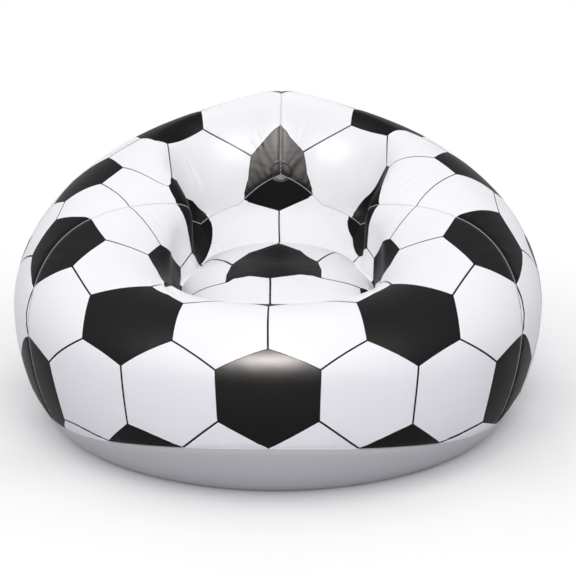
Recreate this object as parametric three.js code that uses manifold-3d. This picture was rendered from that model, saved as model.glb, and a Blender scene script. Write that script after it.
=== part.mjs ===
import * as THREE from "three";
import { mergeVertices } from "three/addons/utils/BufferGeometryUtils.js";
import Module from "manifold-3d";

// Inflatable bucket armchair, welded from thin PVC panels around one air chamber.
// Millimetres, +Z up, the front faces -Y, the origin is on the ground below the middle.

const wasm = await Module();
wasm.setup();

// Overall sizes of the inflated chair.
const chairWidth = 1140;
const chairDepth = 1120;
const chairHeight = 660;

// Film and welds.
const filmThickness = 0.5;
const weldLip = 8;
const weldGap = 0.3;
const seatingGap = 0.3;

// Cross-section of the chair, by azimuth: the front, then every eighth of the half turn round to the back.
// Radii are shares of half the width, and heights are shares of the chair's height.
const creaseRadiusShares = [0.53, 0.495, 0.432, 0.376, 0.363, 0.345, 0.395, 0.38, 0.335];
const creaseHeightShares = [0.38, 0.385, 0.4, 0.413, 0.426, 0.438, 0.45, 0.474, 0.49];
const innerRadiusShares = [0.605, 0.578, 0.5, 0.42, 0.385, 0.355, 0.56, 0.51, 0.465];
const innerHeightShares = [0.41, 0.418, 0.455, 0.53, 0.59, 0.606, 0.606, 0.606, 0.606];
const rimRadiusShares = [0.763, 0.737, 0.7, 0.684, 0.675, 0.675, 0.684, 0.655, 0.605];
const rimHeightShares = [0.532, 0.536, 0.568, 0.63, 0.714, 0.797, 0.878, 0.948, 1];
const girthRadiusShares = [1, 0.99, 0.985, 0.985, 1, 1.035, 1.055, 1.03, 1];
const girthHeightShares = [0.371, 0.364, 0.356, 0.364, 0.379, 0.394, 0.406, 0.417, 0.427];
const groundRadiusShares = [0.8, 0.795, 0.79, 0.785, 0.77, 0.745, 0.72, 0.71, 0.7];
const baseSeamHeightShares = [0.179, 0.152, 0.106, 0.082, 0.076, 0.076, 0.079, 0.085, 0.091];
const seatCrownShare = 0.49;

// Azimuth of the side seam, in shares of half a turn, at even steps up from the base seam to the valley corner.
const sideSeamTurnShares = [0.325, 0.333, 0.353, 0.4, 0.456, 0.528, 0.661, 0.789];

// How far the seams' junction lies from the inside of the backrest to its rim.
const backJunctionShare = 0.18;

// How far the seams on either side of the junction bow up at their middle, in shares of the wall.
const seamBowShare = 0.035;

// Stations along the cross-section, from the middle of the seat to the ground.
const creaseStation = 1;
const innerStation = 2;
const rimStation = 3;
const girthStation = 4;
const groundStation = 5;

// How finely the panels are faceted.
const frontColumns = 28;
const backColumns = 16;
const seamRows = 15;
const valleyRows = 3;
const seatRings = 5;
const baseWallRings = 3;
const baseFloorRings = 2;
const patchRings = 2;
const roundSegments = 32;
const webVentSegments = 8;

// Tie pieces inside the air chamber.
const baffleVentRadius = 26;
const baffleVents = 4;
const baffleVentHeightShare = 0.19;
const webLowRow = 6;
const webHighRow = 14;
const webVentShares = [0.3, 0.7];
const webVentRiseShare = 0.35;
const webVentRadiusShare = 0.15;
const patchRadius = 20;

// Air valve, along its own axis: the distances are outwards from the panel.
const valveColumnShare = 0.72;
const valveRow = 1;
const flangeRadius = 22;
const flangeThickness = 1.2;
const collarRadius = 10.9;
const collarBore = 9.2;
const collarDepth = 14;
const runningGap = 0.3;
const stemBore = 4.6;
const stemTravel = 12;
const stemHeadRadius = 13;
const stemHeadThickness = 1.2;
const stemStopRadius = 10.6;
const stemStopThickness = 1.8;
const plugHeadRadius = 7;
const plugHeadThickness = 1.6;
const plugSpigotLength = 5.2;
const plugSpigotTopRadius = 4.1;
const plugSpigotTipRadius = 3;
const hingeOffset = 8.9;
const hingeHalfGap = 0.6;
const tabWidth = 4.4;
const tabThickness = 0.6;
const tabReach = 3.4;
const flapRadius = 6.4;
const flapThickness = 0.6;
const flapEarWidth = 4;
const flapEarReach = 8.4;
const cutOverrun = 4;

const backJunctionStation = innerStation + backJunctionShare * (rimStation - innerStation);
const halfWidth = chairWidth / 2;
const depthPerWidth = chairDepth / chairWidth;
const halfTurn = Math.PI;
const quarterTurn = Math.PI / 2;
const normalStep = 1e-3;
const lerp = THREE.MathUtils.lerp;

// A smooth closed curve through the values of a table, mirrored to the other side of the chair.
function around(shares, size) {
  const mirrored = shares.concat(shares.slice(1, -1).reverse());
  const points = mirrored.map((share) => new THREE.Vector3(share * size, 0, 0));
  const curve = new THREE.CatmullRomCurve3(points, true, "catmullrom");
  return (azimuth) => curve.getPoint(azimuth / (2 * halfTurn) - Math.floor(azimuth / (2 * halfTurn))).x;
}

const creaseRadius = around(creaseRadiusShares, halfWidth);
const creaseHeight = around(creaseHeightShares, chairHeight);
const innerRadius = around(innerRadiusShares, halfWidth);
const innerHeight = around(innerHeightShares, chairHeight);
const rimRadius = around(rimRadiusShares, halfWidth);
const rimHeight = around(rimHeightShares, chairHeight);
const girthRadius = around(girthRadiusShares, halfWidth);
const girthHeight = around(girthHeightShares, chairHeight);
const groundRadius = around(groundRadiusShares, halfWidth);
const baseSeamHeight = around(baseSeamHeightShares, chairHeight);
const seatCrown = seatCrownShare * chairHeight;

// A point of a quarter ellipse that leaves its start upright or level.
function quarterArc(start, end, share, upright) {
  const rising = Math.sin(share * quarterTurn);
  const turning = 1 - Math.cos(share * quarterTurn);
  const across = upright ? turning : rising;
  const along = upright ? rising : turning;
  return new THREE.Vector2(lerp(start.x, end.x, across), lerp(start.y, end.y, along));
}

// Radius and height of the chair's surface at an azimuth and a station.
function profile(azimuth, station) {
  const crease = new THREE.Vector2(creaseRadius(azimuth), creaseHeight(azimuth));
  if (station <= creaseStation) {
    const share = station / creaseStation;
    return new THREE.Vector2(share * crease.x, lerp(seatCrown, crease.y, share * share));
  }
  const inner = new THREE.Vector2(innerRadius(azimuth), innerHeight(azimuth));
  if (station <= innerStation) {
    const knee = new THREE.Vector2(inner.x, (crease.y + inner.y) / 2);
    return new THREE.QuadraticBezierCurve(crease, knee, inner).getPoint(station - creaseStation);
  }
  const rim = new THREE.Vector2(rimRadius(azimuth), rimHeight(azimuth));
  if (station <= rimStation) return quarterArc(inner, rim, station - innerStation, true);
  const girth = new THREE.Vector2(girthRadius(azimuth), girthHeight(azimuth));
  if (station <= girthStation) return quarterArc(rim, girth, station - rimStation, false);
  const ground = new THREE.Vector2(groundRadius(azimuth), 0);
  return quarterArc(girth, ground, station - girthStation, true);
}

function surfacePoint(azimuth, station) {
  const at = profile(azimuth, station);
  return new THREE.Vector3(at.x * Math.sin(azimuth), -at.x * Math.cos(azimuth) * depthPerWidth, at.y);
}

// Outward direction of the surface outside the crease.
function wallNormal(azimuth, station) {
  const aside = surfacePoint(azimuth + normalStep, station).sub(surfacePoint(azimuth - normalStep, station));
  const inwards = surfacePoint(azimuth, station - normalStep).sub(surfacePoint(azimuth, station + normalStep));
  return aside.cross(inwards).normalize();
}

const up = new THREE.Vector3(0, 0, 1);
const down = new THREE.Vector3(0, 0, -1);

// A spot is a point of the surface with its outward direction. At the crease the welded lips point straight down.
function wallSpot(azimuth, station) {
  const atCrease = station < creaseStation + normalStep;
  const normal = atCrease ? up.clone() : wallNormal(azimuth, station);
  return { point: surfacePoint(azimuth, atCrease ? creaseStation : station), normal };
}

function baseSeamStation(azimuth) {
  const drop = 1 - baseSeamHeight(azimuth) / girthHeight(azimuth);
  return girthStation + Math.asin(drop) / quarterTurn;
}

// Stations rise evenly from the base seam, share 0, to the crease, share 1.
function rowStation(azimuth, share) {
  return lerp(baseSeamStation(azimuth), creaseStation, share);
}

const wallRows = seamRows + valleyRows;
const seamCurve = new THREE.SplineCurve(sideSeamTurnShares.map((share) => new THREE.Vector2(share * halfTurn, 0)));
const valleyAzimuth = sideSeamTurnShares.at(-1) * halfTurn;
const valleyShare = seamRows / wallRows;
const junctionShare =
  (baseSeamStation(halfTurn) - backJunctionStation) / (baseSeamStation(halfTurn) - creaseStation);

function sideSeamAzimuth(share) {
  return share < valleyShare ? seamCurve.getPoint(share / valleyShare).x : valleyAzimuth;
}

// Two triangles that share the diagonal from a to c, or from b to d when turned.
function quad(a, b, c, d, isTurned = false) {
  return [
    isTurned ? [a, b, d] : [a, b, c],
    isTurned ? [b, c, d] : [a, c, d],
  ];
}

// Cells right of the middle turn their diagonals, so that the two sides of the chair mirror each other.
function isOnRight(spots, corners) {
  return spots[corners[0]].point.x + spots[corners[2]].point.x > 0;
}

// The grid of a four-sided panel: columns run anticlockwise round the chair, and rows run from its base inwards.
function gridPatch(columns, rows, place) {
  const spots = [];
  for (let row = 0; row <= rows; row += 1) {
    for (let column = 0; column <= columns; column += 1) spots.push(place(column, row));
  }
  const at = (column, row) => row * (columns + 1) + column;
  const triangles = [];
  for (let row = 0; row < rows; row += 1) {
    for (let column = 0; column < columns; column += 1) {
      const corners = [at(column, row), at(column + 1, row), at(column + 1, row + 1), at(column, row + 1)];
      triangles.push(...quad(...corners, isOnRight(spots, corners)));
    }
  }
  const edge = [];
  for (let column = 0; column < columns; column += 1) edge.push(at(column, 0));
  for (let row = 0; row < rows; row += 1) edge.push(at(columns, row));
  for (let column = columns; column > 0; column -= 1) edge.push(at(column, rows));
  for (let row = rows; row > 0; row -= 1) edge.push(at(0, row));
  return { spots, triangles, edge };
}

// The rings and spokes of a round panel. It faces up when its spokes run anticlockwise seen from above.
function roundPatch(azimuths, rings, facesUp, centre, place) {
  const count = azimuths.length;
  const ordered = facesUp ? azimuths : azimuths.toReversed();
  const spots = [centre];
  for (let ring = 1; ring <= rings; ring += 1) ordered.forEach((azimuth) => spots.push(place(azimuth, ring)));
  const at = (spoke, ring) => 1 + (ring - 1) * count + (spoke % count);
  const triangles = [];
  for (let spoke = 0; spoke < count; spoke += 1) {
    triangles.push([0, at(spoke, 1), at(spoke + 1, 1)]);
    for (let ring = 1; ring < rings; ring += 1) {
      const corners = [at(spoke, ring), at(spoke, ring + 1), at(spoke + 1, ring + 1), at(spoke + 1, ring)];
      triangles.push(...quad(...corners, isOnRight(spots, corners)));
    }
  }
  const edge = ordered.map((azimuth, spoke) => at(spoke, rings));
  return { spots, triangles, edge };
}

// Direction along the surface from an edge spot into its panel, lengthened to keep mitred corners true.
function inwardMitre(spots, before, here, after) {
  const normal = spots[here].normal;
  const legs = [
    [before, here],
    [here, after],
  ].map(([from, to]) => {
    const along = spots[to].point.clone().sub(spots[from].point);
    return normal.clone().cross(along).normalize();
  });
  const spread = 1 + legs[0].dot(legs[1]);
  return legs[0].add(legs[1]).divideScalar(spread);
}

function bufferOf(points, triangles) {
  const geometry = new THREE.BufferGeometry().setFromPoints(points);
  geometry.setIndex(triangles.flat());
  return geometry;
}

// A film panel with its edge turned inwards as a lip, ready to be welded to its neighbour's lip.
function filmPanel({ spots, triangles, edge }) {
  const count = spots.length;
  const outer = spots.map(({ point }) => point.clone());
  const inner = spots.map(({ point, normal }) => point.clone().addScaledVector(normal, -filmThickness));
  const outerTips = [];
  const innerTips = [];
  edge.forEach((here, i) => {
    const before = edge[(i + edge.length - 1) % edge.length];
    const after = edge[(i + 1) % edge.length];
    const mitre = inwardMitre(spots, before, here, after);
    const { point, normal } = spots[here];
    const outside = point.clone().addScaledVector(mitre, weldGap / 2);
    const inside = point.clone().addScaledVector(mitre, weldGap / 2 + filmThickness);
    outer[here] = outside;
    inner[here] = inside.clone().addScaledVector(normal, -filmThickness);
    outerTips.push(outside.clone().addScaledVector(normal, -weldLip));
    innerTips.push(inside.clone().addScaledVector(normal, -weldLip));
  });
  const faces = triangles.flatMap(([a, b, c]) => [
    [a, b, c],
    [c + count, b + count, a + count],
  ]);
  edge.forEach((here, i) => {
    const next = (i + 1) % edge.length;
    const tip = 2 * count + i;
    const nextTip = 2 * count + next;
    const innerTip = tip + edge.length;
    const nextInnerTip = nextTip + edge.length;
    const rises = spots[edge[next]].point.z > spots[here].point.z;
    faces.push(...quad(edge[next], here, tip, nextTip, rises));
    faces.push(...quad(nextTip, tip, innerTip, nextInnerTip));
    faces.push(...quad(nextInnerTip, innerTip, here + count, edge[next] + count, rises));
  });
  return bufferOf([...outer, ...inner, ...outerTips, ...innerTips], faces);
}

// The front, both arms and the inside of the arms in one panel.
function frontPatch() {
  return gridPatch(frontColumns, wallRows, (column, row) => {
    const share = row / wallRows;
    const limit = sideSeamAzimuth(share);
    const azimuth = lerp(-limit, limit, column / frontColumns);
    return wallSpot(azimuth, rowStation(azimuth, share));
  });
}

// Azimuth and row share on a rear panel: across runs from the side seam, 0, to the middle of the back, 1.
function backPlace(across, row) {
  const rise = seamBowShare * Math.sin(across * halfTurn);
  const share = (row / seamRows) * (lerp(valleyShare, junctionShare, across) - rise);
  return { azimuth: lerp(sideSeamAzimuth((row / seamRows) * valleyShare), halfTurn, across), share };
}

function backSpot(across, row, side) {
  const { azimuth, share } = backPlace(across, row);
  return wallSpot(side * azimuth, rowStation(azimuth, share));
}

function backPatch(side) {
  return gridPatch(backColumns, seamRows, (column, row) => {
    const across = column / backColumns;
    return backSpot(side > 0 ? across : 1 - across, row, side);
  });
}

// The lower inside of the backrest, between the two valleys.
function innerBackPatch() {
  return gridPatch(valleyRows, 2 * backColumns, (down, step) => {
    const across = step / backColumns - 1;
    const side = across < 0 ? 1 : -1;
    const { azimuth, share } = backPlace(1 - Math.abs(across), seamRows);
    return wallSpot(side * azimuth, rowStation(azimuth, lerp(1, share, down / valleyRows)));
  });
}

// Azimuths of the panels' corners round the crease or round the base seam.
function seamAzimuths(limit) {
  const azimuths = [];
  for (let column = 0; column < frontColumns; column += 1) {
    azimuths.push(lerp(-limit, limit, column / frontColumns));
  }
  for (let column = 0; column < 2 * backColumns; column += 1) {
    azimuths.push(lerp(limit, 2 * halfTurn - limit, column / (2 * backColumns)));
  }
  return azimuths;
}

function seatNormal(azimuth, station) {
  const aside = surfacePoint(azimuth + normalStep, station).sub(surfacePoint(azimuth - normalStep, station));
  const outwards = surfacePoint(azimuth, station).sub(surfacePoint(azimuth, station - normalStep));
  return outwards.cross(aside).normalize();
}

function seatPatch() {
  const centre = { point: surfacePoint(0, 0), normal: up };
  return roundPatch(seamAzimuths(valleyAzimuth), seatRings, true, centre, (azimuth, ring) => {
    if (ring === seatRings) return wallSpot(azimuth, creaseStation);
    const station = (creaseStation * ring) / seatRings;
    return { point: surfacePoint(azimuth, station), normal: seatNormal(azimuth, station) };
  });
}

function basePatch() {
  const rings = baseWallRings + baseFloorRings;
  const centre = { point: new THREE.Vector3(0, 0, 0), normal: down };
  return roundPatch(seamAzimuths(sideSeamAzimuth(0)), rings, false, centre, (azimuth, ring) => {
    if (ring > baseFloorRings) {
      const wallShare = (ring - baseFloorRings) / baseWallRings;
      return wallSpot(azimuth, lerp(groundStation, baseSeamStation(azimuth), wallShare));
    }
    const floorShare = ring / baseFloorRings;
    return { point: surfacePoint(azimuth, groundStation).multiplyScalar(floorShare), normal: down };
  });
}

function solidOf(geometry) {
  const bare = geometry.clone();
  bare.deleteAttribute("normal");
  bare.deleteAttribute("uv");
  const merged = mergeVertices(bare);
  return new wasm.Manifold(
    new wasm.Mesh({
      numProp: 3,
      vertProperties: merged.attributes.position.array,
      triVerts: new Uint32Array(merged.index.array),
    }),
  );
}

function geometryOf(solid) {
  const { numProp, vertProperties, triVerts } = solid.getMesh();
  const geometry = new THREE.BufferGeometry();
  geometry.setAttribute("position", new THREE.BufferAttribute(vertProperties, numProp));
  geometry.setIndex(new THREE.BufferAttribute(triVerts, 1));
  return geometry;
}

function cut(geometry, tools) {
  const body = tools.reduce((left, tool) => left.subtract(solidOf(tool)), solidOf(geometry));
  return geometryOf(body);
}

function join(...geometries) {
  const [first, ...others] = geometries.map(solidOf);
  return geometryOf(others.reduce((whole, other) => whole.add(other), first));
}

// A solid turned about +Z from radius and height pairs.
function turned(outline) {
  const points = outline.map(([radius, height]) => new THREE.Vector2(radius, height));
  return new THREE.LatheGeometry(points, roundSegments).rotateX(quarterTurn);
}

function box(low, high) {
  const size = high.clone().sub(low);
  const middle = low.clone().add(high).divideScalar(2);
  return new THREE.BoxGeometry(size.x, size.y, size.z).translate(middle.x, middle.y, middle.z);
}

// A film wall that ties the seat's welded crease down to the floor panel, with holes that let the air past.
function seatBaffle() {
  const azimuths = seamAzimuths(valleyAzimuth);
  const floor = filmThickness + seatingGap;
  const levels = [];
  for (const [side, height] of [
    [-1, 0],
    [1, 0],
    [1, 1],
    [-1, 1],
  ]) {
    const level = azimuths.map((azimuth, i) => {
      const before = surfacePoint(azimuths.at(i - 1), creaseStation);
      const after = surfacePoint(azimuths[(i + 1) % azimuths.length], creaseStation);
      const outwards = after.sub(before).cross(up).normalize();
      const crease = surfacePoint(azimuth, creaseStation);
      const top = crease.z - weldLip - seatingGap;
      crease.z = height ? top : floor;
      return crease.addScaledVector(outwards.setZ(0), (side * filmThickness) / 2);
    });
    levels.push(level);
  }
  const count = azimuths.length;
  const faces = [];
  for (let level = 0; level < levels.length; level += 1) {
    const upper = (level + 1) % levels.length;
    for (let i = 0; i < count; i += 1) {
      const next = (i + 1) % count;
      faces.push(...quad(level * count + i, level * count + next, upper * count + next, upper * count + i));
    }
  }
  const wall = bufferOf(levels.flat(), faces);
  const middle = baffleVentHeightShare * chairHeight;
  const vents = Array.from({ length: baffleVents }, (_, i) => {
    const azimuth = ((i + 0.5) / baffleVents) * 2 * halfTurn;
    const reach = creaseRadius(azimuth);
    return new THREE.CylinderGeometry(baffleVentRadius, baffleVentRadius, reach, roundSegments)
      .translate(0, reach, 0)
      .rotateZ(azimuth + halfTurn)
      .translate(0, 0, middle);
  });
  return cut(wall, vents);
}

// A film web in the middle of the backrest, under the rim, that holds its inner face to its outer one.
function backWeb() {
  const inset = weldLip + seatingGap;
  const rim = [];
  for (let row = webLowRow; row <= webHighRow; row += 1) {
    const { point, normal } = backSpot(1, row, 1);
    rim.push(point.addScaledVector(normal, -inset));
  }
  const shape = new THREE.Shape(rim.map(({ y, z }) => new THREE.Vector2(y, z)));
  const span = rim.at(-1).clone().sub(rim[0]);
  const rising = new THREE.Vector3(0, span.z, -span.y).normalize();
  const archRise = Math.max(...rim.map((point) => point.clone().sub(rim[0]).dot(rising)));
  webVentShares.forEach((share) => {
    const middle = rim[0].clone().lerp(rim.at(-1), share).addScaledVector(rising, webVentRiseShare * archRise);
    shape.holes.push(new THREE.Path().absarc(middle.y, middle.z, webVentRadiusShare * archRise, 0, 2 * halfTurn));
  });
  return new THREE.ExtrudeGeometry(shape, { depth: filmThickness, bevelEnabled: false, curveSegments: webVentSegments })
    .translate(0, 0, -filmThickness / 2)
    .rotateY(quarterTurn)
    .rotateX(quarterTurn);
}

// A round patch over the junction of the three seams on the inside of the backrest.
function seamPatch() {
  const middle = wallSpot(halfTurn, backJunctionStation).point;
  const perTurn = surfacePoint(halfTurn + normalStep, backJunctionStation).distanceTo(middle) / normalStep;
  const perStation = surfacePoint(halfTurn, backJunctionStation + normalStep).distanceTo(middle) / normalStep;
  const spokes = Array.from({ length: roundSegments }, (_, i) => (i / roundSegments) * 2 * halfTurn);
  const spotAt = (turn, radius) => {
    const azimuth = halfTurn + (Math.cos(turn) * radius) / perTurn;
    return wallSpot(azimuth, backJunctionStation - (Math.sin(turn) * radius) / perStation);
  };
  const { spots, triangles, edge } = roundPatch(spokes, patchRings, true, spotAt(0, 0), (turn, ring) =>
    spotAt(turn, (patchRadius * ring) / patchRings),
  );
  const count = spots.length;
  const rise = weldGap + seatingGap;
  const top = spots.map(({ point, normal }) => point.clone().addScaledVector(normal, rise + filmThickness));
  const bottom = spots.map(({ point, normal }) => point.clone().addScaledVector(normal, rise));
  const faces = triangles.flatMap(([a, b, c]) => [
    [a, b, c],
    [c + count, b + count, a + count],
  ]);
  edge.forEach((here, i) => {
    const next = edge[(i + 1) % edge.length];
    faces.push(...quad(next, here, here + count, next + count));
  });
  return bufferOf([...top, ...bottom], faces);
}

// The valve sits on one flat facet of the right rear panel, with its axis square to it.
function valveFrame(patch) {
  const column = Math.round(valveColumnShare * backColumns);
  const at = (i, j) => patch.spots[(valveRow + j) * (backColumns + 1) + column + i].point;
  const corners = [at(0, 0), at(1, 0), at(1, 1), at(0, 1)];
  const middle = corners.reduce((sum, corner) => sum.add(corner), new THREE.Vector3()).divideScalar(4);
  const outwards = corners[2].clone().sub(corners[0]).cross(corners[3].clone().sub(corners[1])).normalize();
  const across = up.clone().cross(outwards).normalize();
  const upwards = outwards.clone().cross(across);
  return new THREE.Matrix4().makeBasis(across, upwards, outwards).setPosition(middle);
}

const flangeLow = seatingGap;
const flangeTop = flangeLow + flangeThickness;
const stemHeadLow = flangeTop + runningGap;
const stemHeadTop = stemHeadLow + stemHeadThickness;
const stemRadius = collarBore - runningGap;
const stopTop = -collarDepth - runningGap - stemTravel;
const stopLow = stopTop - stemStopThickness;
const lidLow = stemHeadTop + seatingGap;

function valveFlange() {
  return turned([
    [collarBore, -collarDepth],
    [collarRadius, -collarDepth],
    [collarRadius, flangeLow],
    [flangeRadius, flangeLow],
    [flangeRadius, flangeTop],
    [collarBore, flangeTop],
    [collarBore, -collarDepth],
  ]);
}

function valveStem() {
  return turned([
    [stemBore, stopLow],
    [stemStopRadius, stopLow],
    [stemStopRadius, stopTop],
    [stemRadius, stopTop],
    [stemRadius, stemHeadLow],
    [stemHeadRadius, stemHeadLow],
    [stemHeadRadius, stemHeadTop],
    [stemBore, stemHeadTop],
    [stemBore, stopLow],
  ]);
}

// The plug's tail runs down to its hinge line, and the strap's tab faces it from the other side.
function valvePlug() {
  const lid = turned([
    [0, lidLow - plugSpigotLength],
    [plugSpigotTipRadius, lidLow - plugSpigotLength],
    [plugSpigotTopRadius, lidLow],
    [plugHeadRadius, lidLow],
    [plugHeadRadius, lidLow + plugHeadThickness],
    [0, lidLow + plugHeadThickness],
  ]);
  const tail = box(
    new THREE.Vector3(-tabWidth / 2, hingeHalfGap - hingeOffset, lidLow),
    new THREE.Vector3(tabWidth / 2, 0, lidLow + tabThickness),
  );
  const grip = box(
    new THREE.Vector3(-tabWidth / 2, 0, lidLow + plugHeadThickness - tabThickness),
    new THREE.Vector3(tabWidth / 2, plugHeadRadius + tabReach, lidLow + plugHeadThickness),
  );
  return join(lid, tail, grip);
}

function plugStrap() {
  const near = -hingeOffset - hingeHalfGap;
  return box(
    new THREE.Vector3(-tabWidth / 2, near - tabReach, lidLow),
    new THREE.Vector3(tabWidth / 2, near, lidLow + tabThickness),
  );
}

function checkFlap() {
  const top = stopLow - seatingGap;
  const disc = turned([
    [0, top - flapThickness],
    [flapRadius, top - flapThickness],
    [flapRadius, top],
    [0, top],
  ]);
  const ear = box(
    new THREE.Vector3(-flapEarWidth / 2, 0, top - flapThickness),
    new THREE.Vector3(flapEarWidth / 2, flapEarReach, top),
  );
  return join(disc, ear);
}

const whiteFilm = new THREE.MeshStandardMaterial({ color: 0xf1f1f4, roughness: 0.35, metalness: 0 });
const baseFilm = new THREE.MeshStandardMaterial({ color: 0xd9dade, roughness: 0.45, metalness: 0 });
const tieFilm = new THREE.MeshStandardMaterial({ color: 0xe6e7ea, roughness: 0.5, metalness: 0 });
const valvePlastic = new THREE.MeshStandardMaterial({ color: 0xe9edf0, roughness: 0.3, metalness: 0 });

const chair = new THREE.Group();

function add(parent, name, geometry, material) {
  const mesh = new THREE.Mesh(geometry, material);
  mesh.name = name;
  parent.add(mesh);
}

const rightBack = backPatch(1);
const valvePlace = valveFrame(rightBack);
const skinHoleTool = new THREE.CylinderGeometry(
  collarRadius + runningGap,
  collarRadius + runningGap,
  2 * cutOverrun,
  roundSegments,
)
  .rotateX(quarterTurn)
  .applyMatrix4(valvePlace);

add(chair, "front_skin", filmPanel(frontPatch()), whiteFilm);
add(chair, "back_skin_right", cut(filmPanel(rightBack), [skinHoleTool]), whiteFilm);
add(chair, "back_skin_left", filmPanel(backPatch(-1)), whiteFilm);
add(chair, "inner_back_skin", filmPanel(innerBackPatch()), whiteFilm);
add(chair, "seat_skin", filmPanel(seatPatch()), whiteFilm);
add(chair, "base_skin", filmPanel(basePatch()), baseFilm);
add(chair, "seat_baffle", seatBaffle(), tieFilm);
add(chair, "back_web", backWeb(), tieFilm);
add(chair, "seam_patch", seamPatch(), whiteFilm);

const valve = new THREE.Group();
valvePlace.decompose(valve.position, valve.quaternion, valve.scale);
chair.add(valve);
add(valve, "valve_flange", valveFlange(), valvePlastic);
add(valve, "valve_stem", valveStem(), valvePlastic);
add(valve, "valve_plug", valvePlug(), valvePlastic);
add(valve, "plug_strap", plugStrap(), valvePlastic);
add(valve, "check_flap", checkFlap(), valvePlastic);

export default chair;
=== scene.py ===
"""Looks of the inflatable bucket chair: air-filled film panels, welds, a printed hexagon pattern and an air valve."""

import math

import bpy
import numpy as np
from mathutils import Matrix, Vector
from mathutils.bvhtree import BVHTree
from mathutils.kdtree import KDTree


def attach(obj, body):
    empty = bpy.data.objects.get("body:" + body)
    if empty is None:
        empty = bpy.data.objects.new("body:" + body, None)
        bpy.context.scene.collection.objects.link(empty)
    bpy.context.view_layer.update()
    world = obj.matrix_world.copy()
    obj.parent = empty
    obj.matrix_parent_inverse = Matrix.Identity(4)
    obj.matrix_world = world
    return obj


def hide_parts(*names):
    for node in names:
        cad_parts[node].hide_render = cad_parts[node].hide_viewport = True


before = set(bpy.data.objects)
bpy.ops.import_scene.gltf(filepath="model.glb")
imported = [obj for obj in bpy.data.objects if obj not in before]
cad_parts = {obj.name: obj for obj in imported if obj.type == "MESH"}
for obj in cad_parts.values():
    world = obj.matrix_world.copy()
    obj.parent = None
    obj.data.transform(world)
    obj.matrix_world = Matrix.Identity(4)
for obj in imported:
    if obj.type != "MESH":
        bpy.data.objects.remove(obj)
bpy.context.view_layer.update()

# Camera of the photograph, from a fit to its outline and seams. The picture is 576 by 576.
PICTURE = 576
FOCAL_PIXELS = 1232.7
SENSOR_MM = 36
CAMERA_AZIMUTH, CAMERA_ELEVATION, CAMERA_DISTANCE = math.radians(1.565), math.radians(14.65), 2.681
CAMERA_CENTRE = Vector((0, 0, 0.3))
CAMERA_TARGET = Vector((0.022, 0, 0.269))

TURN = 2 * math.pi
HALF_TURN = math.pi
QUARTER = math.pi / 2


def make_camera():
    data = bpy.data.cameras.new("camera")
    data.sensor_width = SENSOR_MM
    data.lens = FOCAL_PIXELS * SENSOR_MM / PICTURE
    camera = bpy.data.objects.new("camera", data)
    level = math.cos(CAMERA_ELEVATION)
    back = Vector((math.sin(CAMERA_AZIMUTH) * level, -math.cos(CAMERA_AZIMUTH) * level, math.sin(CAMERA_ELEVATION)))
    camera.location = CAMERA_CENTRE + back * CAMERA_DISTANCE
    camera.rotation_mode = "QUATERNION"
    camera.rotation_quaternion = (CAMERA_TARGET - camera.location).to_track_quat("-Z", "Y")
    bpy.context.scene.collection.objects.link(camera)
    bpy.context.scene.camera = camera
    return camera


camera = make_camera()

# Form of the chair, as in the CAD source: shares by azimuth, from the front round to the back.
WIDTH, DEPTH, HEIGHT = 1.14, 1.12, 0.66
CREASE_RADIUS = [0.53, 0.495, 0.432, 0.376, 0.363, 0.345, 0.395, 0.38, 0.335]
CREASE_HEIGHT = [0.38, 0.385, 0.4, 0.413, 0.426, 0.438, 0.45, 0.474, 0.49]
INNER_RADIUS = [0.605, 0.578, 0.5, 0.42, 0.385, 0.355, 0.56, 0.51, 0.465]
INNER_HEIGHT = [0.41, 0.418, 0.455, 0.53, 0.59, 0.606, 0.606, 0.606, 0.606]
RIM_RADIUS = [0.763, 0.737, 0.7, 0.684, 0.675, 0.675, 0.684, 0.655, 0.605]
RIM_HEIGHT = [0.532, 0.536, 0.568, 0.63, 0.714, 0.797, 0.878, 0.948, 1]
GIRTH_RADIUS = [1, 0.99, 0.985, 0.985, 1, 1.035, 1.055, 1.03, 1]
GIRTH_HEIGHT = [0.371, 0.364, 0.356, 0.364, 0.379, 0.394, 0.406, 0.417, 0.427]
GROUND_RADIUS = [0.8, 0.795, 0.79, 0.785, 0.77, 0.745, 0.72, 0.71, 0.7]
BASE_SEAM_HEIGHT = [0.179, 0.152, 0.106, 0.082, 0.076, 0.076, 0.079, 0.085, 0.091]
SEAT_CROWN = 0.49 * HEIGHT
SIDE_SEAM_TURN = [0.325, 0.333, 0.353, 0.4, 0.456, 0.528, 0.661, 0.789]
SEAM_SHARE = 15 / 18
CREASE, INNER, RIM, GIRTH, GROUND = 1, 2, 3, 4, 5
JUNCTION = INNER + 0.18
BLUR_TURN = 0.012
RING_STEPS = 720
SEAT_PUFF = 0.03
POLE_STATION = 0.05
NORMAL_STEP = 0.002


def spline(before, here, after, beyond, share):
    """A smooth curve from here to after, by share of the way between them."""
    leave, arrive = (after - before) / 2, (beyond - here) / 2
    square, cube = 3 * (after - here) - 2 * leave - arrive, 2 * (here - after) + leave + arrive
    return here + leave * share + square * share**2 + cube * share**3


def around(shares, size):
    """A smooth closed curve through the values, blurred a little so that no highlight breaks at a value."""
    ring = np.array(shares + shares[-2:0:-1]) * size
    steps = np.arange(RING_STEPS)
    place = steps / RING_STEPS * len(ring)
    i = place.astype(int)
    curve = spline(*(ring[(i + k) % len(ring)] for k in (-1, 0, 1, 2)), place - i)
    half = RING_STEPS // 2
    offset = (steps + half) % RING_STEPS - half
    weight = np.exp(-((offset / RING_STEPS / BLUR_TURN) ** 2) / 2)
    smooth = np.real(np.fft.ifft(np.fft.fft(curve) * np.fft.fft(weight / weight.sum())))
    smooth = np.append(smooth, smooth[0])
    return lambda azimuth: np.interp(np.asarray(azimuth) / TURN % 1, np.linspace(0, 1, RING_STEPS + 1), smooth)


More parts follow.
